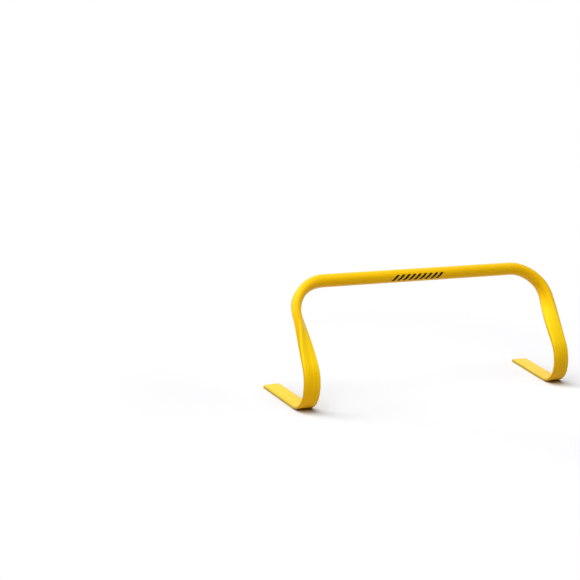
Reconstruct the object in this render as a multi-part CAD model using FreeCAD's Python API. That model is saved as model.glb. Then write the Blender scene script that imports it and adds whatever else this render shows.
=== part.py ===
import FreeCAD
import Part
import math
import os

# Speed hurdle: one plastic tube, bent into a bar with two legs and pressed flat towards its feet.
# Millimetres and degrees. +X runs along the bar to the right, -Y is the side the legs lean to, +Z is up.
# The origin is on the floor, at the middle of the footprint.

# Driving dimensions of the whole hurdle
overall_height = 230.0
leg_spacing = 543.0
tube_diameter = 25.0
tube_wall = 2.5

# The bend at each end of the bar, which pinches the tube to an oval
shoulder_radius = 69.0
shoulder_thickness = 19.5

# The leg: a straight run that leans forward, then a curve that brings it back under itself
leg_lean = 37.0
leg_bend_radius = 66.0
leg_width = 32.5
leg_slit = 1.6
leg_tuck = 6.3
leg_tuck_drop = 103.0

# The heel and the foot, where the tube is pressed shut
heel_lean = 13.0
heel_radius = 40.0
foot_length = 125.0
foot_toe_out = 5.2
foot_corner_radius = 5.0

# Where the pinch ends and the tuck starts, how fast the twist goes, and how finely the sections are laid
pinch_end_share = 0.5
tuck_start_share = 0.45
twist_ease = 2.0
section_points = 64
shoulder_steps = 10
leg_steps = 16
heel_steps = 10

# Sizes that follow from those above
bar_height = overall_height - tube_diameter / 2
leg_thickness = 2 * tube_wall + leg_slit
foot_thickness = 2 * tube_wall
tuck_start_height = bar_height - tuck_start_share * shoulder_radius
toe_slope = math.tan(math.radians(foot_toe_out))
lean = math.radians(leg_lean)
back_lean = -math.radians(heel_lean)
quarter_turn = math.pi / 2

across = FreeCAD.Vector(1, 0, 0)
upright = FreeCAD.Vector(0, 0, 1)
down_leg = FreeCAD.Vector(0, -math.sin(lean), -math.cos(lean))
shoulder_start = FreeCAD.Vector(leg_spacing / 2 - shoulder_radius, 0, bar_height)
shoulder_end = shoulder_start + (across + down_leg) * shoulder_radius

leg_bend_drop = leg_bend_radius * (math.sin(lean) - math.sin(back_lean))
heel_drop = heel_radius * (1 + math.sin(back_lean))
leg_run_drop = shoulder_end.z - foot_thickness / 2 - leg_bend_drop - heel_drop
leg_run = leg_run_drop / math.cos(lean)

shoulder_length = shoulder_radius * quarter_turn
leg_length = leg_run + leg_bend_radius * (lean - back_lean)
heel_length = heel_radius * (back_lean + quarter_turn)
pinch_length = pinch_end_share * shoulder_length
press_length = shoulder_length - pinch_length + leg_length


# Width of the tube when it is pressed to a thickness and keeps its girth.
def pressed_width(thickness):
    return (math.pi * tube_diameter - (math.pi - 2) * thickness) / 2


# From 0 to 1, with a soft start and a soft end.
def soft_step(share):
    share = min(max(share, 0), 1)
    return share * share * (3 - 2 * share)


# A value between two ends.
def between(start, end, share):
    return start + (end - start) * share


# How far a leg stands inside its line at a height: nothing at the shoulder, most at the tuck's drop.
def tuck_at(height):
    depth = max(tuck_start_height - height, 0) / leg_tuck_drop
    return leg_tuck * depth * (2 - depth)


# How much the tuck grows for each length that the leg drops.
def tuck_slope_at(height):
    if height >= tuck_start_height:
        return 0
    depth = (tuck_start_height - height) / leg_tuck_drop
    return 2 * leg_tuck * (1 - depth) / leg_tuck_drop


# One place on the centre line: its point, and the sideways and forward directions across the tube there.
def place(centre, heading, outward):
    heading = FreeCAD.Vector(heading)
    heading.normalize()
    side = outward - heading * outward.dot(heading)
    side.normalize()
    return centre, side, heading.cross(side)


# Takes a place on the plain path and moves it inwards by the tuck.
def tucked(centre, heading, outward):
    slope = tuck_slope_at(centre.z) * -heading.z
    return place(centre - across * tuck_at(centre.z), heading - across * slope, outward)


# Point and heading on a bend in the plane of the leg, which turns from one lean to another.
def bend(start, radius, first_lean, turned_lean):
    back = radius * (math.cos(first_lean) - math.cos(turned_lean))
    drop = radius * (math.sin(first_lean) - math.sin(turned_lean))
    heading = FreeCAD.Vector(0, -math.sin(turned_lean), -math.cos(turned_lean))
    return start + FreeCAD.Vector(0, back, -drop), heading


def shoulder_place(share):
    turn = quarter_turn * share
    along = across * (shoulder_radius * math.sin(turn))
    down = down_leg * (shoulder_radius * (1 - math.cos(turn)))
    heading = across * math.cos(turn) + down_leg * math.sin(turn)
    outward = across * math.sin(turn) - down_leg * math.cos(turn)
    return tucked(shoulder_start + along + down, heading, outward)


def leg_point(share):
    run = leg_length * share
    if run <= leg_run:
        return shoulder_end + down_leg * run, down_leg
    turned = lean - (run - leg_run) / leg_bend_radius
    return bend(shoulder_end + down_leg * leg_run, leg_bend_radius, lean, turned)


def leg_place(share):
    centre, heading = leg_point(share)
    return tucked(centre, heading, across)


# In the heel, the leg's sideways slope turns evenly into the foot's toe-out.
def heel_place(share):
    start, leg_heading = leg_point(1)
    centre, heading = bend(start, heel_radius, back_lean, between(back_lean, -quarter_turn, share))
    first_slope = tuck_slope_at(start.z) * leg_heading.z
    slope = between(first_slope, toe_slope, share)
    sideways = heel_length * share * (first_slope + slope) / 2 - tuck_at(start.z)
    return place(centre + across * sideways, heading + across * slope, across)


# Width, thickness and twist of the tube's section. First the shoulder pinches it across the bend. Then it is
# pressed flat, and its long side twists from across the bend to across the leg.
def tube_size(run):
    pinch = soft_step(run / pinch_length)
    press = soft_step((run - pinch_length) / press_length)
    pinched = between(tube_diameter, shoulder_thickness, pinch)
    width = between(pressed_width(pinched), leg_width, press)
    thickness = between(pinched, leg_thickness, press)
    return width, thickness, quarter_turn * (1 - press) ** twist_ease


def shoulder_size(share):
    return tube_size(shoulder_length * share)


def leg_size(share):
    return tube_size(shoulder_length + leg_length * share)


def heel_size(share):
    width = between(leg_width, pressed_width(foot_thickness), soft_step(share))
    thickness = between(leg_thickness, foot_thickness, soft_step(share))
    return width, thickness, 0


# Points evenly spread round a band with straight faces and half-round edges, from the middle of its front.
def band_points(width, thickness):
    radius = thickness / 2
    straight = width - thickness
    half_girth = straight + math.pi * radius
    points = []
    for index in range(section_points):
        run = straight / 2 + 2 * half_girth * index / section_points
        flip = -1 if half_girth <= run < 2 * half_girth else 1
        run = run % half_girth
        if run < straight:
            points.append((flip * (run - straight / 2), flip * radius))
        else:
            turn = (run - straight) / radius
            points.append((flip * (straight / 2 + radius * math.sin(turn)), flip * radius * math.cos(turn)))
    return points


# A ring of points round the tube's section, laid across a place on the centre line.
def ring(at, size, inset):
    centre, side, front = at
    width, thickness, twist = size
    long_way = side * math.cos(twist) + front * math.sin(twist)
    short_way = front * math.cos(twist) - side * math.sin(twist)
    points = []
    for along, out in band_points(width - 2 * inset, thickness - 2 * inset):
        points.append(centre + long_way * along + short_way * out)
    return points


# A smooth surface through the rings of some stretches of the tube, measured from the bar's end on.
def tube_surface(stretches, inset):
    rings = [ring(shoulder_place(0), shoulder_size(0), inset)]
    runs = [0]
    for place_at, size_at, length, steps in stretches:
        start = runs[-1]
        for step in range(steps):
            share = (step + 1) / steps
            rings.append(ring(place_at(share), size_at(share), inset))
            runs.append(start + length * share)
    turns = [index / section_points for index in range(section_points + 1)]
    ring_poles = []
    for points in rings:
        round_curve = Part.BSplineCurve()
        round_curve.interpolate(Points=points, Parameters=turns, PeriodicFlag=True)
        ring_poles.append(round_curve.getPoles())
    poles = []
    for row in zip(*ring_poles):
        long_curve = Part.BSplineCurve()
        long_curve.interpolate(Points=list(row), Parameters=runs)
        poles.append(long_curve.getPoles())
    surface = Part.BSplineSurface()
    surface.buildFromPolesMultsKnots(
        poles, round_curve.getMultiplicities(), long_curve.getMultiplicities(),
        round_curve.getKnots(), long_curve.getKnots(), True, False, round_curve.Degree, long_curve.Degree)
    return surface


# The solid that a tube's surface holds between two runs along it, closed by a flat face at each end.
def stretch_solid(surface, start, end):
    first_turn, last_turn = surface.bounds()[:2]
    skin = surface.toShape(first_turn, last_turn, start, end)
    faces = [skin]
    for rim in skin.Edges:
        if rim.isClosed():
            faces.append(Part.Face(Part.Wire([rim])))
    solid = Part.makeSolid(Part.makeShell(faces))
    solid.fix(0, 0, 0)
    return solid


def make_crossbar():
    length = 2 * shoulder_start.x
    left_end = FreeCAD.Vector(-shoulder_start.x, 0, bar_height)
    outside = Part.makeCylinder(tube_diameter / 2, length, left_end, across)
    bore = Part.makeCylinder(tube_diameter / 2 - tube_wall, length, left_end, across)
    return outside.cut(bore)


# The formed tube of one side, cut square where the shoulder ends and where the heel starts.
def make_formed_side():
    shoulder = (shoulder_place, shoulder_size, shoulder_length, shoulder_steps)
    leg = (leg_place, leg_size, leg_length, leg_steps)
    heel = (heel_place, heel_size, heel_length, heel_steps)
    outside = tube_surface([shoulder, leg, heel], 0)
    bore = tube_surface([shoulder, leg], tube_wall)
    leg_end = shoulder_length + leg_length
    shoulder_bore = stretch_solid(bore, 0, shoulder_length)
    leg_bore = stretch_solid(bore, shoulder_length, leg_end)
    return {
        "shoulder": stretch_solid(outside, 0, shoulder_length).cut(shoulder_bore),
        "leg": stretch_solid(outside, shoulder_length, leg_end).cut(leg_bore),
        "heel": stretch_solid(outside, leg_end, leg_end + heel_length),
    }


# The blade on the floor: half-round long edges, and a square tip with rounded corners.
def make_foot():
    origin = FreeCAD.Vector(0, 0, 0)
    width = pressed_width(foot_thickness)
    radius = foot_thickness / 2
    flat = across * (width / 2 - radius)
    edge = across * (width / 2)
    face = upright * radius
    outline = Part.Wire([
        Part.LineSegment(face - flat, face + flat).toShape(),
        Part.Arc(face + flat, edge, flat - face).toShape(),
        Part.LineSegment(flat - face, -flat - face).toShape(),
        Part.Arc(-flat - face, -edge, face - flat).toShape(),
    ])
    blade = Part.Face(outline).extrude(FreeCAD.Vector(0, foot_length, 0))
    plan = Part.makeBox(width, foot_length, foot_thickness, -edge - face)
    tip_corners = []
    for side in plan.Edges:
        stands = side.Vertexes[0].Point.z != side.Vertexes[1].Point.z
        if stands and side.CenterOfMass.y > foot_length / 2:
            tip_corners.append(side)
    foot = blade.common(plan.makeFillet(foot_corner_radius, tip_corners))
    foot.rotate(origin, upright, -foot_toe_out)
    foot.translate(heel_place(1)[0])
    return foot


right_side = make_formed_side()
right_side["foot"] = make_foot()

pieces = {"crossbar": make_crossbar()}
for name, shape in right_side.items():
    pieces["right_" + name] = shape
    pieces["left_" + name] = shape.mirror(FreeCAD.Vector(0, 0, 0), across)

# The origin goes to the middle of the footprint, from the front of the legs to the back of the feet.
whole = Part.makeCompound(list(pieces.values())).optimalBoundingBox()
middle = FreeCAD.Vector(0, (whole.YMin + whole.YMax) / 2, 0)

os.makedirs("parts", exist_ok=True)
for name, shape in pieces.items():
    shape.translate(-middle)
    if len(shape.Solids) != 1 or not shape.isValid():
        raise ValueError(name + " is not one sound solid")
    shape.Solids[0].exportStep("parts/" + name + ".step")
    box = shape.optimalBoundingBox()
    print(name, "volume", round(shape.Volume), "x", round(box.XMin, 2), round(box.XMax, 2),
          "y", round(box.YMin, 2), round(box.YMax, 2), "z", round(box.ZMin, 3), round(box.ZMax, 2))
print("straight run of the leg", round(leg_run, 1), "foot width", round(pressed_width(foot_thickness), 1))
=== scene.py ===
import math
import bmesh
import bpy
import numpy as np
from mathutils import Matrix, Vector


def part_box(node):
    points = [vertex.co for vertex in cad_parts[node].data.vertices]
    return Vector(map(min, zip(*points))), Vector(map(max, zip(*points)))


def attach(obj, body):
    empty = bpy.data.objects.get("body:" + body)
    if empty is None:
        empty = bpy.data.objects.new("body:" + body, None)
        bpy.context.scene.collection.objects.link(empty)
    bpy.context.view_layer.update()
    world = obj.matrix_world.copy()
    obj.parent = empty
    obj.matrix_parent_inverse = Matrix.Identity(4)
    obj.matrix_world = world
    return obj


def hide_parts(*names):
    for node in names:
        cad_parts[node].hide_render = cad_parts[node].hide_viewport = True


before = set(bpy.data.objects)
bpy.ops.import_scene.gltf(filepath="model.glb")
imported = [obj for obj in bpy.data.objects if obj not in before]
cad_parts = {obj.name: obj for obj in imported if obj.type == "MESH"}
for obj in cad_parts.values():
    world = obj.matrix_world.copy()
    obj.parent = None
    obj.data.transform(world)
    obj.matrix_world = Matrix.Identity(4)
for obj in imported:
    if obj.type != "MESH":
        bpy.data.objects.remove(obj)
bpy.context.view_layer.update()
print("frame loaded:", ", ".join(sorted(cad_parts)))


# The tube before and after forming. Lengths are metres, angles are degrees, and the right side is the one
# that is worked out: the left side is its mirror image.
tubeForm = {
    "wall": 0.0025,
    "shoulderRadius": 0.069,
    "shoulderThickness": 0.0195,
    "pinchEndShare": 0.5,      # of the shoulder, where the bend's pinch is complete
    "legLean": 37.0,
    "legBendRadius": 0.066,
    "legWidth": 0.0325,
    "legSlit": 0.0016,         # left open between the walls at the leg's lower end
    "legTuck": 0.0063,         # how far the leg stands in, at the drop below
    "legTuckDrop": 0.103,
    "tuckStartShare": 0.45,
    "twistEase": 2.0,
    "heelLean": 13.0,
    "heelRadius": 0.040,
    "footLength": 0.125,
    "footToeOut": 5.2,
    "tipCornerRadius": 0.005,
    "tipEdgeRound": 0.0005,
}

barLow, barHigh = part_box("crossbar")
tubeRadius = (barHigh.z - barLow.z) / 2
barHalf = barHigh.x
barMiddle = (barLow + barHigh) / 2
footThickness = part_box("right_foot")[1].z

across = Vector((1, 0, 0))
quarterTurn = math.pi / 2
lean = math.radians(tubeForm["legLean"])
backLean = -math.radians(tubeForm["heelLean"])
downLeg = Vector((0, -math.sin(lean), -math.cos(lean)))
toeSlope = math.tan(math.radians(tubeForm["footToeOut"]))
tuckStart = barMiddle.z - tubeForm["tuckStartShare"] * tubeForm["shoulderRadius"]
legThickness = 2 * tubeForm["wall"] + tubeForm["legSlit"]

shoulderStart = Vector((barHalf, barMiddle.y, barMiddle.z))
shoulderEnd = shoulderStart + (across + downLeg) * tubeForm["shoulderRadius"]
legBendDrop = tubeForm["legBendRadius"] * (math.sin(lean) - math.sin(backLean))
heelDrop = tubeForm["heelRadius"] * (1 + math.sin(backLean))
legRun = (shoulderEnd.z - footThickness / 2 - legBendDrop - heelDrop) / math.cos(lean)

# Distances along the tube from the bar's end, where each section stops
shoulderStop = tubeForm["shoulderRadius"] * quarterTurn
legStop = shoulderStop + legRun + tubeForm["legBendRadius"] * (lean - backLean)
heelStop = legStop + tubeForm["heelRadius"] * (backLean + quarterTurn)
footStop = heelStop + tubeForm["footLength"]


def softStep(share):
    share = min(max(share, 0.0), 1.0)
    return share * share * (3 - 2 * share)


def between(start, end, share):
    return start + (end - start) * share


def pressedWidth(thickness):
    return math.pi * tubeRadius - (math.pi - 2) * thickness / 2  # the girth stays


def tuckAt(height):
    depth = max(tuckStart - height, 0.0) / tubeForm["legTuckDrop"]
    return tubeForm["legTuck"] * depth * (2 - depth)


def tuckSlopeAt(height):
    if height >= tuckStart:
        return 0.0
    depth = (tuckStart - height) / tubeForm["legTuckDrop"]
    return 2 * tubeForm["legTuck"] * (1 - depth) / tubeForm["legTuckDrop"]


def place(centre, heading, outward):
    heading = heading.normalized()
    side = (outward - heading * outward.dot(heading)).normalized()
    return centre, side, heading.cross(side)


def tucked(centre, heading, outward):
    slope = -tuckSlopeAt(centre.z) * heading.z
    return place(centre - across * tuckAt(centre.z), heading - across * slope, outward)


def bend(start, radius, firstLean, turnedLean):
    back = radius * (math.cos(firstLean) - math.cos(turnedLean))
    drop = radius * (math.sin(firstLean) - math.sin(turnedLean))
    heading = Vector((0, -math.sin(turnedLean), -math.cos(turnedLean)))
    return start + Vector((0, back, -drop)), heading


def shoulderPlace(run):
    radius = tubeForm["shoulderRadius"]
    turn = run / radius
    if run < 0:
        return place(shoulderStart + across * run, across, -downLeg)
    centre = shoulderStart + across * (radius * math.sin(turn)) + downLeg * (radius * (1 - math.cos(turn)))
    heading = across * math.cos(turn) + downLeg * math.sin(turn)
    outward = across * math.sin(turn) - downLeg * math.cos(turn)
    return tucked(centre, heading, outward)


def legPoint(run):
    run -= shoulderStop
    if run <= legRun:
        return shoulderEnd + downLeg * run, downLeg
    turned = lean - (run - legRun) / tubeForm["legBendRadius"]
    return bend(shoulderEnd + downLeg * legRun, tubeForm["legBendRadius"], lean, turned)


def heelPlace(run):
    share = (run - legStop) / (heelStop - legStop)
    start, legHeading = legPoint(legStop)
    turned = between(backLean, -quarterTurn, share)
    centre, heading = bend(start, tubeForm["heelRadius"], backLean, turned)
    firstSlope = tuckSlopeAt(start.z) * legHeading.z
    slope = between(firstSlope, toeSlope, share)
    sideways = (run - legStop) * (firstSlope + slope) / 2 - tuckAt(start.z)
    return place(centre + across * sideways, heading + across * slope, across)


def tubePlace(run):
    if run < shoulderStop:
        return shoulderPlace(run)
    if run < legStop:
        return tucked(*legPoint(run), across)
    if run < heelStop:
        return heelPlace(run)
    centre, side, front = heelPlace(heelStop)
    return centre + side.cross(front) * (run - heelStop), side, front


# Width, thickness and twist of the section
def tubeSize(run):
    footWidth = pressedWidth(footThickness)
    if run >= legStop:
        share = softStep((run - legStop) / (heelStop - legStop))
        width = between(tubeForm["legWidth"], footWidth, share)
        return width, between(legThickness, footThickness, share), 0.0
    pinchStop = tubeForm["pinchEndShare"] * shoulderStop
    pinch = softStep(run / pinchStop)
    press = softStep((run - pinchStop) / (legStop - pinchStop))
    pinched = between(2 * tubeRadius, tubeForm["shoulderThickness"], pinch)
    width = between(pressedWidth(pinched), tubeForm["legWidth"], press)
    thickness = between(pinched, legThickness, press)
    return width, thickness, quarterTurn * (1 - press) ** tubeForm["twistEase"]


# A band with straight faces and half-round edges, as (across, out) pairs from the middle of its front.
# reach is half the width that is left where the tip's corners are cut round.
def bandPoints(width, thickness, count, reach):
    radius = thickness / 2
    straight = max(width - thickness, 0.0)
    halfGirth = straight + math.pi * radius
    flat = min(reach, straight / 2) / (straight / 2) if straight > 0 else 1.0
    points = []
    for index in range(count):
        run = straight / 2 + 2 * halfGirth * index / count
        flip = -1 if halfGirth <= run < 2 * halfGirth else 1
        run %= halfGirth
        if run < straight:
            points.append((flip * (run - straight / 2) * flat, flip * radius))
        else:
            turn = (run - straight) / radius
            edge = min(straight / 2 + radius * math.sin(turn), reach)
            points.append((flip * edge, flip * radius * math.cos(turn)))
    return points


# How far a quarter-round of this radius still stands back, at a distance from its end
def standBack(radius, distance):
    left = max(radius - distance, 0.0)
    return radius - math.sqrt(radius ** 2 - left ** 2)


def tubeRing(run, inset, count):
    centre, side, front = tubePlace(run)
    width, thickness, twist = tubeSize(run)
    longWay = side * math.cos(twist) + front * math.sin(twist)
    shortWay = front * math.cos(twist) - side * math.sin(twist)
    fromTip = footStop - run
    edge = standBack(tubeForm["tipEdgeRound"], fromTip)
    reach = width / 2 - standBack(tubeForm["tipCornerRadius"], fromTip) - edge
    band = bandPoints(width - 2 * inset, thickness - 2 * (inset + edge), count, reach)
    return [centre + longWay * a + shortWay * b for a, b in band]


print("tube worked out, half length", round(barHalf + footStop, 4), "m")


# Meshes. Every piece is a chain of rings: hollow ones go down the outside and back up the bore.
tubeMesh = {
    "pointsRound": 96,
    "barStep": 0.010,
    "barBoreStep": 0.040,
    "shoulderStep": 0.0018,
    "legStep": 0.0018,
    "heelStep": 0.0013,
    "footStep": 0.005,
    "tipSteps": 6,
    "boreStep": 0.006,
    "tipSlitShare": 0.8,       # of the tip's flat end, for the hairline where the walls meet
    "tipSlitGap": 0.0003,
    "tipSlitDepth": 0.0015,
}


def evenRuns(start, stop, step):
    return list(np.linspace(start, stop, max(2, round((stop - start) / step) + 1)))


def footRuns():
    corner = tubeForm["tipCornerRadius"]
    edge = tubeForm["tipEdgeRound"]
    turns = np.linspace(0, quarterTurn, tubeMesh["tipSteps"] + 1)
    cornerRuns = [footStop - corner + (corner - edge) * math.sin(turn) for turn in turns[1:]]
    edgeRuns = [footStop - edge + edge * math.sin(turn) for turn in turns[1:]]
    return evenRuns(heelStop, footStop - corner, tubeMesh["footStep"]) + cornerRuns + edgeRuns


def ringStack(runs, inset):
    return np.array([tubeRing(run, inset, tubeMesh["pointsRound"]) for run in runs])


# Normals of a stack of rings, read across its neighbours, so that sections meet without a visible line
def stackNormals(runs, inset):
    before = 2 * runs[0] - runs[1]
    after = min(2 * runs[-1] - runs[-2], footStop)
    rings = ringStack([before] + runs + [after], inset)
    around = np.roll(rings, -1, axis=1) - np.roll(rings, 1, axis=1)
    along = rings[2:] - rings[:-2]
    normals = np.cross(around[1:-1], along)
    outward = rings[1:-1] - rings[1:-1].mean(axis=1, keepdims=True)
    if (normals * outward).sum() < 0:
        normals = -normals
    return normals / np.linalg.norm(normals, axis=2, keepdims=True)


# The hairline in the end of the foot, where the tube's two walls are pressed together
def tipSlit():
    centre, side, front = tubePlace(footStop)
    heading = side.cross(front)
    width = tubeMesh["tipSlitShare"] * (pressedWidth(footThickness) - 2 * tubeForm["tipCornerRadius"])
    band = bandPoints(width, tubeMesh["tipSlitGap"], tubeMesh["pointsRound"], width)
    mouth = [centre + side * a + front * b for a, b in band]
    floor = [point - heading * tubeMesh["tipSlitDepth"] for point in mouth]
    return [np.array(mouth), np.array(floor)]


# Where each vertex lay on the straight tube, before it was formed: the finish follows that
def straightTube(runs, inset):
    turns = 2 * math.pi * np.arange(tubeMesh["pointsRound"]) / tubeMesh["pointsRound"]
    circle = np.stack([np.cos(turns), np.sin(turns)], axis=1) * (tubeRadius - inset)
    rows = [np.column_stack([circle, np.full(len(turns), barHalf + run)]) for run in runs]
    return np.array(rows)


# Faces between rings, and which of them stay flat. A closed chain joins its last ring to its first, and an
# open one gets a cap at each end.
def ringFaces(total, closed, flatAfter):
    count = tubeMesh["pointsRound"]
    faces = []
    flats = []
    for row in range(total if closed else total - 1):
        here = row * count
        on = (row + 1) % total * count
        for step in range(count):
            stepOn = (step + 1) % count
            faces.append((here + step, here + stepOn, on + stepOn, on + step))
            flats.append(row in flatAfter)
    if not closed:
        faces.append(tuple(range(count))[::-1])
        faces.append(tuple(range((total - 1) * count, total * count)))
        flats += [True, True]
    return faces, flats


def tubePiece(name, node, runs, boreRuns=None, slit=False, mirrored=False):
    wall = tubeForm["wall"]
    rings = list(ringStack(runs, 0.0))
    normals = list(stackNormals(runs, 0.0))
    marks = list(straightTube(runs, 0.0))
    flatAfter = set()          # faces between this ring and the next are flat: caps and the slit
    if boreRuns:
        flatAfter |= {len(runs) - 1, len(runs) + len(boreRuns) - 1}
        rings += list(ringStack(boreRuns, wall))[::-1]
        normals += list(-stackNormals(boreRuns, wall))[::-1]
        marks += list(straightTube(boreRuns, wall))[::-1]
    if slit:
        flatAfter |= {len(runs) - 1, len(runs)}
        rings += tipSlit()
        normals += [normals[-1], normals[-1]]
        marks += list(straightTube([footStop, footStop - tubeMesh["tipSlitDepth"]], wall))
    faces, flats = ringFaces(len(rings), bool(boreRuns), flatAfter)
    points = np.concatenate(rings)
    bends = np.concatenate(normals)
    coords = np.concatenate(marks)
    if mirrored:
        points = points * (-1, 1, 1)
        bends = bends * (-1, 1, 1)
        coords = coords * (1, 1, -1)
        faces = [face[::-1] for face in faces]
    mesh = bpy.data.meshes.new(name)
    mesh.from_pydata(points.tolist(), [], faces)
    mesh.update()
    if mesh.polygons[0].normal.dot(Vector(bends[faces[0][0]])) < 0:
        mesh.flip_normals()
    straight = mesh.attributes.new("straightTube", "FLOAT_VECTOR", "POINT")
    straight.data.foreach_set("vector", coords.ravel())
    cornerNormals = []
    for polygon, flat in zip(mesh.polygons, flats):
        polygon.use_smooth = not flat
        for vertex in polygon.vertices:
            cornerNormals.append(polygon.normal if flat else bends[vertex])
    mesh.normals_split_custom_set([tuple(normal) for normal in cornerNormals])
    piece = bpy.data.objects.new(name, mesh)
    bpy.context.scene.collection.objects.link(piece)
    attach(piece, "root")
    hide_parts(node)
    return piece


yellowPieces = []
barRuns = evenRuns(-2 * barHalf, 0.0, tubeMesh["barStep"])
barBore = evenRuns(-2 * barHalf, 0.0, tubeMesh["barBoreStep"])
yellowPieces.append(tubePiece("bar_tube", "crossbar", barRuns, barBore))

shoulderRuns = evenRuns(0.0, shoulderStop, tubeMesh["shoulderStep"])
shoulderBore = evenRuns(0.0, shoulderStop, tubeMesh["boreStep"])
legRuns = evenRuns(shoulderStop, legStop, tubeMesh["legStep"])
legBore = evenRuns(shoulderStop, legStop, tubeMesh["boreStep"])
heelRuns = evenRuns(legStop, heelStop, tubeMesh["heelStep"])
sections = [
    ("_shoulder_bend", "_shoulder", {"runs": shoulderRuns, "boreRuns": shoulderBore}),
    ("_leg_blade", "_leg", {"runs": legRuns, "boreRuns": legBore}),
    ("_heel_bend", "_heel", {"runs": heelRuns}),
    ("_foot_blade", "_foot", {"runs": footRuns(), "slit": True}),
]
for side, mirrored in (("right", False), ("left", True)):
    for name, node, made in sections:
        yellowPieces.append(tubePiece(side + name, side + node, mirrored=mirrored, **made))
print("tube pieces built:", len(yellowPieces))


# Plain slanted stripes printed on the front of the bar, as thin ink
stripeForm = {
    "stripes": 9,
    "length": 0.107,
    "middle": -0.0095,         # along the bar, from its middle
    "height": 0.0125,          # round the bar
    "tilt": -5.0,              # degrees round the bar from its front, minus is down
    "inkShare": 0.52,          # of each pitch
    "slant": 45.0,
    "cornerRadius": 0.0006,
    "cornerSteps": 4,
    "slices": 10,
    "ink": 0.00006,
}


def stripeOutline(middle, width):
    half = stripeForm["height"] / 2
    shift = half * math.tan(math.radians(stripeForm["slant"]))
    corners = [
        (-width / 2 - shift, -half),
        (width / 2 - shift, -half),
        (width / 2 + shift, half),
        (-width / 2 + shift, half),
    ]
    points = []
    for index, corner in enumerate(corners):
        here = Vector(corner)
        back = (Vector(corners[index - 1]) - here).normalized()
        on = (Vector(corners[(index + 1) % len(corners)]) - here).normalized()
        halfAngle = back.angle(on) / 2
        toArc = stripeForm["cornerRadius"] / math.tan(halfAngle)
        centre = here + (back + on).normalized() * (stripeForm["cornerRadius"] / math.sin(halfAngle))
        first = here + back * toArc - centre
        last = here + on * toArc - centre
        for step in range(stripeForm["cornerSteps"] + 1):
            turned = first.lerp(last, step / stripeForm["cornerSteps"]).normalized()
            point = centre + turned * stripeForm["cornerRadius"]
            points.append((middle + point.x, point.y))
    return points


def printedStripes():
    shape = bmesh.new()
    pitch = stripeForm["length"] / stripeForm["stripes"]
    for index in range(stripeForm["stripes"]):
        middle = stripeForm["middle"] + (index - (stripeForm["stripes"] - 1) / 2) * pitch
        outline = stripeOutline(middle, pitch * stripeForm["inkShare"])
        shape.faces.new([shape.verts.new((x, y, 0.0)) for x, y in outline])
    for share in np.linspace(-0.5, 0.5, stripeForm["slices"] + 1)[1:-1]:
        everything = shape.verts[:] + shape.edges[:] + shape.faces[:]
        at = (0.0, share * stripeForm["height"], 0.0)
        bmesh.ops.bisect_plane(shape, geom=everything, plane_co=at, plane_no=(0.0, 1.0, 0.0))
    tilt = math.radians(stripeForm["tilt"])
    outside = tubeRadius + stripeForm["ink"] / 2
    for vert in shape.verts:
        turn = vert.co.y / tubeRadius + tilt
        y = barMiddle.y - outside * math.cos(turn)
        z = barMiddle.z + outside * math.sin(turn)
        vert.co = Vector((vert.co.x, y, z))
    bmesh.ops.recalc_face_normals(shape, faces=shape.faces[:])
    bmesh.ops.solidify(shape, geom=shape.faces[:], thickness=stripeForm["ink"])
    bmesh.ops.recalc_face_normals(shape, faces=shape.faces[:])
    mesh = bpy.data.meshes.new("printed_stripes")
    shape.to_mesh(mesh)
    shape.free()
    piece = bpy.data.objects.new("printed_stripes", mesh)
    bpy.context.scene.collection.objects.link(piece)
    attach(piece, "root")
    return piece


stripePiece = printedStripes()
print("stripes printed:", stripeForm["stripes"])


# Materials
def newMaterial(name):
    material = bpy.data.materials.new(name)
    material.use_nodes = True
    nodes = material.node_tree.nodes
    nodes.clear()
    output = nodes.new("ShaderNodeOutputMaterial")
    return material, nodes, material.node_tree.links, output


plasticLook = {
    "tone": (0.833, 0.49, 0.002, 1.0),
    "pressedPaintedLightTone": (1.0, 0.605, 0.003, 1.0),   # painted light: the flattened lengths are lit brighter than the bar, so their tone is paler
    "twistPaintedLightTone": (1.0, 0.70, 0.012, 1.0),      # painted light on the twisted part of the leg, paler still
    "foldPaintedShadeTone": (0.70, 0.42, 0.002, 1.0),      # painted shade on the folded edges of the flattened lengths
    "footFoldPaintedShadeTone": (0.48, 0.34, 0.012, 1.0),  # deeper painted shade on the same edges along the feet, and on their cut ends
    "paleTone": (1.0, 0.64, 0.008, 1.0),       # the fine draw lines
    "deepTone": (0.813, 0.452, 0.001, 1.0),    # the broad draw lines
    # Where these begin and are complete, along the straight tube from the bar's middle
    "pressedFrom": (barHalf + 0.75 * shoulderStop, barHalf + 1.35 * shoulderStop),
    "twistFrom": (barHalf + 0.95 * shoulderStop, barHalf + 1.35 * shoulderStop),
    "twistTo": (barHalf + between(shoulderStop, legStop, 0.45), barHalf + legStop),
    "footFrom": (barHalf + between(legStop, heelStop, 0.5), barHalf + heelStop),
    "cutFrom": (barHalf + footStop - tubeForm["tipEdgeRound"], barHalf + footStop),
    "foldFrom": (0.93 * tubeRadius, 0.985 * tubeRadius),    # from the straight tube's middle, to the side
    # Noise: its scale across, across and along, how much of it shows and how strongly
    "fineLines": {"scale": (1100.0, 1100.0, 9.0), "detail": 3.0, "shown": (0.48, 0.80), "share": 0.6},
    "broadLines": {"scale": (320.0, 320.0, 3.0), "detail": 2.0, "shown": (0.35, 0.75), "share": 0.55},
    "cloud": {"scale": (28.0, 28.0, 28.0), "detail": 3.0, "shown": (0.3, 0.7), "share": 0.25},
    "skin": {"scale": (1500.0, 1500.0, 1500.0), "detail": 1.0, "share": 0.15},
    "roughness": (0.22, 0.34),
    "roughnessShown": (0.3, 0.7),
    "specular": (0.28, 0.19),  # as drawn, and where it is flattened
    "specularTint": (1.0, 0.82, 0.18, 1.0),
    "bump": 0.18,
    "bumpDepth": 0.00025,
}


noiseRoughness = 0.55


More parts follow.
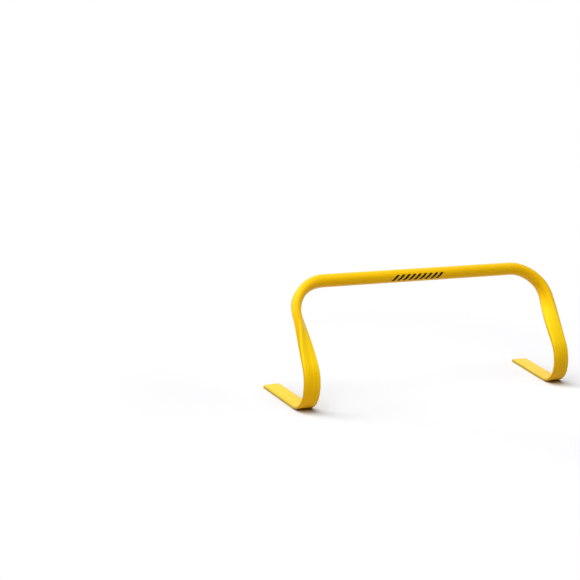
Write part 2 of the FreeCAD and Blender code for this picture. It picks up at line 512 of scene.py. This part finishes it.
def stretchedNoise(nodes, links, source, look, name):
    mapping = nodes.new("ShaderNodeMapping")
    mapping.inputs["Scale"].default_value = look["scale"]
    noise = nodes.new("ShaderNodeTexNoise")
    noise.inputs["Scale"].default_value = 1.0
    noise.inputs["Detail"].default_value = look["detail"]
    noise.inputs["Roughness"].default_value = noiseRoughness
    noise.label = name
    links.new(source, mapping.inputs["Vector"])
    links.new(mapping.outputs["Vector"], noise.inputs["Vector"])
    return noise.outputs["Fac"]


def mixColours(nodes, links, share, first, second):
    mix = nodes.new("ShaderNodeMix")
    mix.data_type = "RGBA"
    links.new(share, mix.inputs["Factor"])
    for socket, value in ((mix.inputs[6], first), (mix.inputs[7], second)):    # the two colour sockets
        if isinstance(value, tuple):
            socket.default_value = value
        else:
            links.new(value, socket)
    return mix.outputs[2]


def mapped(nodes, links, value, low, high, toLow, toHigh):
    remap = nodes.new("ShaderNodeMapRange")
    remap.interpolation_type = "SMOOTHSTEP"
    remap.inputs["From Min"].default_value = low
    remap.inputs["From Max"].default_value = high
    remap.inputs["To Min"].default_value = toLow
    remap.inputs["To Max"].default_value = toHigh
    links.new(value, remap.inputs["Value"])
    return remap.outputs["Result"]


def arithmetic(nodes, links, operation, first, second):
    node = nodes.new("ShaderNodeMath")
    node.operation = operation
    for socket, value in ((node.inputs[0], first), (node.inputs[1], second)):
        if isinstance(value, (int, float)):
            socket.default_value = value
        else:
            links.new(value, socket)
    return node.outputs[0]


def yellowPlastic():
    material, nodes, links, output = newMaterial("drawn_yellow_plastic")
    shader = nodes.new("ShaderNodeBsdfPrincipled")
    links.new(shader.outputs["BSDF"], output.inputs["Surface"])
    onTube = nodes.new("ShaderNodeAttribute")
    onTube.attribute_name = "straightTube"
    source = onTube.outputs["Vector"]
    fineLook = plasticLook["fineLines"]
    broadLook = plasticLook["broadLines"]
    cloudLook = plasticLook["cloud"]
    fine = stretchedNoise(nodes, links, source, fineLook, "fine draw lines")
    broad = stretchedNoise(nodes, links, source, broadLook, "broad draw lines")
    cloud = stretchedNoise(nodes, links, source, cloudLook, "cloudy tone")
    grain = stretchedNoise(nodes, links, source, plasticLook["skin"], "skin")
    deeper = mapped(nodes, links, broad, *broadLook["shown"], 0.0, broadLook["share"])
    paler = mapped(nodes, links, fine, *fineLook["shown"], 0.0, fineLook["share"])
    parts = nodes.new("ShaderNodeSeparateXYZ")
    links.new(source, parts.inputs["Vector"])
    fromMiddle = arithmetic(nodes, links, "ABSOLUTE", parts.outputs["Z"], 0.0)
    # The flattened lengths get a paler tone: painted light
    pressed = mapped(nodes, links, fromMiddle, *plasticLook["pressedFrom"], 0.0, 1.0)
    pressedWithPaintedLight = mixColours(nodes, links, pressed, plasticLook["tone"], plasticLook["pressedPaintedLightTone"])
    # The twisted part of the leg gets a paler tone still: painted light
    begun = mapped(nodes, links, fromMiddle, *plasticLook["twistFrom"], 0.0, 1.0)
    unfinished = mapped(nodes, links, fromMiddle, *plasticLook["twistTo"], 1.0, 0.0)
    twisted = arithmetic(nodes, links, "MULTIPLY", begun, unfinished)
    plain = mixColours(nodes, links, twisted, pressedWithPaintedLight, plasticLook["twistPaintedLightTone"])
    toned = mixColours(nodes, links, deeper, plain, plasticLook["deepTone"])
    lined = mixColours(nodes, links, paler, toned, plasticLook["paleTone"])
    clouded = mapped(nodes, links, cloud, *cloudLook["shown"], 0.0, cloudLook["share"])
    colour = mixColours(nodes, links, clouded, lined, plain)
    # The folded edges, and the feet's cut ends, get a darker tone: painted shade
    toFold = arithmetic(nodes, links, "ABSOLUTE", parts.outputs["Y"], 0.0)
    fold = mapped(nodes, links, toFold, *plasticLook["foldFrom"], 0.0, 1.0)
    # The feet's cut ends get the same painted shade as the feet's edges
    cut = mapped(nodes, links, fromMiddle, *plasticLook["cutFrom"], 0.0, 1.0)
    pressedFold = arithmetic(nodes, links, "MULTIPLY", fold, pressed)
    edgeShadeMask = arithmetic(nodes, links, "MAXIMUM", pressedFold, cut)
    onFoot = mapped(nodes, links, fromMiddle, *plasticLook["footFrom"], 0.0, 1.0)
    paintedEdgeShade = mixColours(nodes, links, onFoot, plasticLook["foldPaintedShadeTone"], plasticLook["footFoldPaintedShadeTone"])
    withPaintedEdgeShade = mixColours(nodes, links, edgeShadeMask, colour, paintedEdgeShade)
    links.new(withPaintedEdgeShade, shader.inputs["Base Color"])
    dullness = mapped(nodes, links, fine, *plasticLook["roughnessShown"], *plasticLook["roughness"])
    links.new(dullness, shader.inputs["Roughness"])
    gloss = mapped(nodes, links, fromMiddle, *plasticLook["pressedFrom"], *plasticLook["specular"])
    links.new(gloss, shader.inputs["Specular IOR Level"])
    shader.inputs["Specular Tint"].default_value = plasticLook["specularTint"]
    lines = arithmetic(nodes, links, "ADD", fine, broad)
    skin = arithmetic(nodes, links, "MULTIPLY", grain, plasticLook["skin"]["share"])
    bump = nodes.new("ShaderNodeBump")
    bump.inputs["Strength"].default_value = plasticLook["bump"]
    bump.inputs["Distance"].default_value = plasticLook["bumpDepth"]
    links.new(arithmetic(nodes, links, "ADD", lines, skin), bump.inputs["Height"])
    links.new(bump.outputs["Normal"], shader.inputs["Normal"])
    return material


inkLook = {
    "tone": (0.010, 0.008, 0.005, 1.0),
    "thinTone": (0.035, 0.026, 0.008, 1.0),
    "grain": {"scale": (900.0, 900.0, 900.0), "detail": 3.0, "shown": (0.45, 0.8)},
    "roughness": (0.42, 0.62),
    "roughnessShown": (0.3, 0.7),
    "specular": 0.08,
}


def blackInk():
    material, nodes, links, output = newMaterial("printed_black_ink")
    shader = nodes.new("ShaderNodeBsdfPrincipled")
    links.new(shader.outputs["BSDF"], output.inputs["Surface"])
    where = nodes.new("ShaderNodeTexCoord")
    grain = stretchedNoise(nodes, links, where.outputs["Object"], inkLook["grain"], "ink grain")
    thin = mapped(nodes, links, grain, *inkLook["grain"]["shown"], 0.0, 1.0)
    colour = mixColours(nodes, links, thin, inkLook["tone"], inkLook["thinTone"])
    links.new(colour, shader.inputs["Base Color"])
    dullness = mapped(nodes, links, grain, *inkLook["roughnessShown"], *inkLook["roughness"])
    links.new(dullness, shader.inputs["Roughness"])
    shader.inputs["Specular IOR Level"].default_value = inkLook["specular"]
    return material


plastic = yellowPlastic()
for piece in yellowPieces:
    piece.data.materials.append(plastic)
stripePiece.data.materials.append(blackInk())
print("materials assigned")


# Floor and light. Rays that are seen find a white world and the floor's own tone. All other rays find what
# lights the object: the soft sky and the floor's bounce.
def seenRay(nodes, links):
    path = nodes.new("ShaderNodeLightPath")
    seen = arithmetic(nodes, links, "MAXIMUM", path.outputs["Is Camera Ray"], path.outputs["Is Glossy Ray"])
    return arithmetic(nodes, links, "MAXIMUM", seen, path.outputs["Is Transmission Ray"])


def mixShaders(nodes, links, share, first, second):
    mix = nodes.new("ShaderNodeMixShader")
    links.new(share, mix.inputs["Fac"])
    links.new(first, mix.inputs[1])
    links.new(second, mix.inputs[2])
    return mix.outputs["Shader"]


# A lamp with a distance, in metres from the object's middle, is a round softbox. The others are far away.
lampLooks = {
    "key": {"towards": (-0.30, -0.36, 0.88), "strength": 1.57, "angle": 50.0, "distance": 1.5},
    "side": {"towards": (-0.78, 0.42, 0.46), "strength": 1.11, "angle": 34.0, "distance": None},
    "back": {"towards": (-0.40, 0.30, 0.87), "strength": 1.12, "angle": 34.0, "distance": None},
}


def addLamps():
    for name, look in lampLooks.items():
        half = math.radians(look["angle"]) / 2
        if look["distance"]:
            data = bpy.data.lights.new(name, "AREA")
            data.shape = "DISK"
            data.size = 2 * look["distance"] * math.tan(half)
            data.energy = look["strength"] * math.pi * (look["distance"] / math.cos(half)) ** 2
        else:
            data = bpy.data.lights.new(name, "SUN")
            data.energy = look["strength"]
            data.angle = 2 * half
        lamp = bpy.data.objects.new(name, data)
        lamp.location = Vector(look["towards"]) * (look["distance"] or 0.0)
        lamp.visible_camera = False
        lamp.rotation_mode = "QUATERNION"
        lamp.rotation_quaternion = Vector(look["towards"]).to_track_quat("Z", "Y")
        bpy.context.scene.collection.objects.link(lamp)


floorLook = {
    "size": 60.0,
    "tone": (0.81, 0.815, 0.83, 1.0),
    "keyTone": (0.693, 0.697, 0.71, 1.0),    # on the key lamp's side, which gets more of its light
    "keyFrom": (-0.08, 0.25),    # metres from the object's middle to that side
    "bounce": (0.58, 0.50, 0.37, 1.0),    # what the floor gives back to the object
    "fade": (0.36, 0.64),    # metres from the object's middle, where the floor turns plain white
}


def paleFloor():
    half = floorLook["size"] / 2
    corners = [(-half, -half, 0), (half, -half, 0), (half, half, 0), (-half, half, 0)]
    mesh = bpy.data.meshes.new("floor")
    mesh.from_pydata(corners, [], [(0, 1, 2, 3)])
    floor = bpy.data.objects.new("floor", mesh)
    bpy.context.scene.collection.objects.link(floor)
    material, nodes, links, output = newMaterial("pale_floor")
    where = nodes.new("ShaderNodeTexCoord")
    toKey = nodes.new("ShaderNodeVectorMath")
    toKey.operation = "DOT_PRODUCT"
    toKey.inputs[1].default_value = Vector(lampLooks["key"]["towards"]).to_2d().normalized().to_3d()
    links.new(where.outputs["Object"], toKey.inputs[0])
    nearKey = mapped(nodes, links, toKey.outputs["Value"], *floorLook["keyFrom"], 0.0, 1.0)
    shown = nodes.new("ShaderNodeBsdfDiffuse")
    evened = mixColours(nodes, links, nearKey, floorLook["tone"], floorLook["keyTone"])
    links.new(evened, shown.inputs["Color"])
    bounce = nodes.new("ShaderNodeBsdfDiffuse")
    bounce.inputs["Color"].default_value = floorLook["bounce"]
    white = nodes.new("ShaderNodeEmission")
    distance = nodes.new("ShaderNodeVectorMath")
    distance.operation = "LENGTH"
    links.new(where.outputs["Object"], distance.inputs[0])
    away = mapped(nodes, links, distance.outputs["Value"], *floorLook["fade"], 0.0, 1.0)
    seen = mixShaders(nodes, links, away, shown.outputs["BSDF"], white.outputs["Emission"])
    either = mixShaders(nodes, links, seenRay(nodes, links), bounce.outputs["BSDF"], seen)
    links.new(either, output.inputs["Surface"])
    mesh.materials.append(material)


skyLook = {
    "colour": (1.0, 1.0, 1.0, 1.0),
    "overhead": 4.87,
    "gather": 20.0,            # higher keeps the light closer to straight overhead
}


def studioSky():
    world = bpy.data.worlds.new("studio")
    bpy.context.scene.world = world
    world.use_nodes = True
    nodes = world.node_tree.nodes
    links = world.node_tree.links
    nodes.clear()
    output = nodes.new("ShaderNodeOutputWorld")
    where = nodes.new("ShaderNodeTexCoord")
    parts = nodes.new("ShaderNodeSeparateXYZ")
    links.new(where.outputs["Generated"], parts.inputs["Vector"])
    height = arithmetic(nodes, links, "MAXIMUM", parts.outputs["Z"], 0.0)
    gathered = arithmetic(nodes, links, "POWER", height, skyLook["gather"])
    strength = arithmetic(nodes, links, "MULTIPLY", gathered, skyLook["overhead"])
    soft = nodes.new("ShaderNodeBackground")
    soft.inputs["Color"].default_value = skyLook["colour"]
    links.new(strength, soft.inputs["Strength"])
    white = nodes.new("ShaderNodeBackground")
    white.inputs["Color"].default_value = skyLook["colour"]
    seen = seenRay(nodes, links)
    either = mixShaders(nodes, links, seen, soft.outputs["Background"], white.outputs["Background"])
    links.new(either, output.inputs["Surface"])


paleFloor()
studioSky()
addLamps()
print("floor and lamps placed")


# The photo's camera, from angles and from where a point over the floor, under the bar's middle, is seen
photoCamera = {
    "azimuth": -21.633,
    "elevation": 13.462,
    "roll": 1.396,
    "framePixels": 580,
    "focalPixels": 1015.133,
    "aimHeight": 0.115,
    "aimPixel": (416.511, 325.44),
    "distance": 1.992107,
    "sensor": 36.0,
}


def addCamera():
    azimuth = math.radians(photoCamera["azimuth"])
    elevation = math.radians(photoCamera["elevation"])
    roll = math.radians(photoCamera["roll"])
    level = math.cos(elevation)
    back = Vector((math.sin(azimuth) * level, -math.cos(azimuth) * level, math.sin(elevation)))
    right = Vector((0, 0, 1)).cross(back).normalized()
    up = back.cross(right)
    right, up = right * math.cos(roll) + up * math.sin(roll), up * math.cos(roll) - right * math.sin(roll)
    centre = photoCamera["framePixels"] / 2
    focal = photoCamera["focalPixels"]
    aim = Vector((0, barMiddle.y, photoCamera["aimHeight"]))
    rightward = (photoCamera["aimPixel"][0] - centre) / focal
    downward = (photoCamera["aimPixel"][1] - centre) / focal
    ray = right * rightward - up * downward - back
    data = bpy.data.cameras.new("photo_view")
    data.sensor_width = photoCamera["sensor"]
    data.lens = photoCamera["sensor"] * focal / photoCamera["framePixels"]
    camera = bpy.data.objects.new("photo_view", data)
    turned = Matrix((right, up, back)).transposed().to_4x4()
    camera.matrix_world = Matrix.Translation(aim - ray * photoCamera["distance"]) @ turned
    bpy.context.scene.collection.objects.link(camera)
    bpy.context.scene.camera = camera


addCamera()
bpy.context.scene.view_settings.view_transform = "Standard"
print("camera placed")
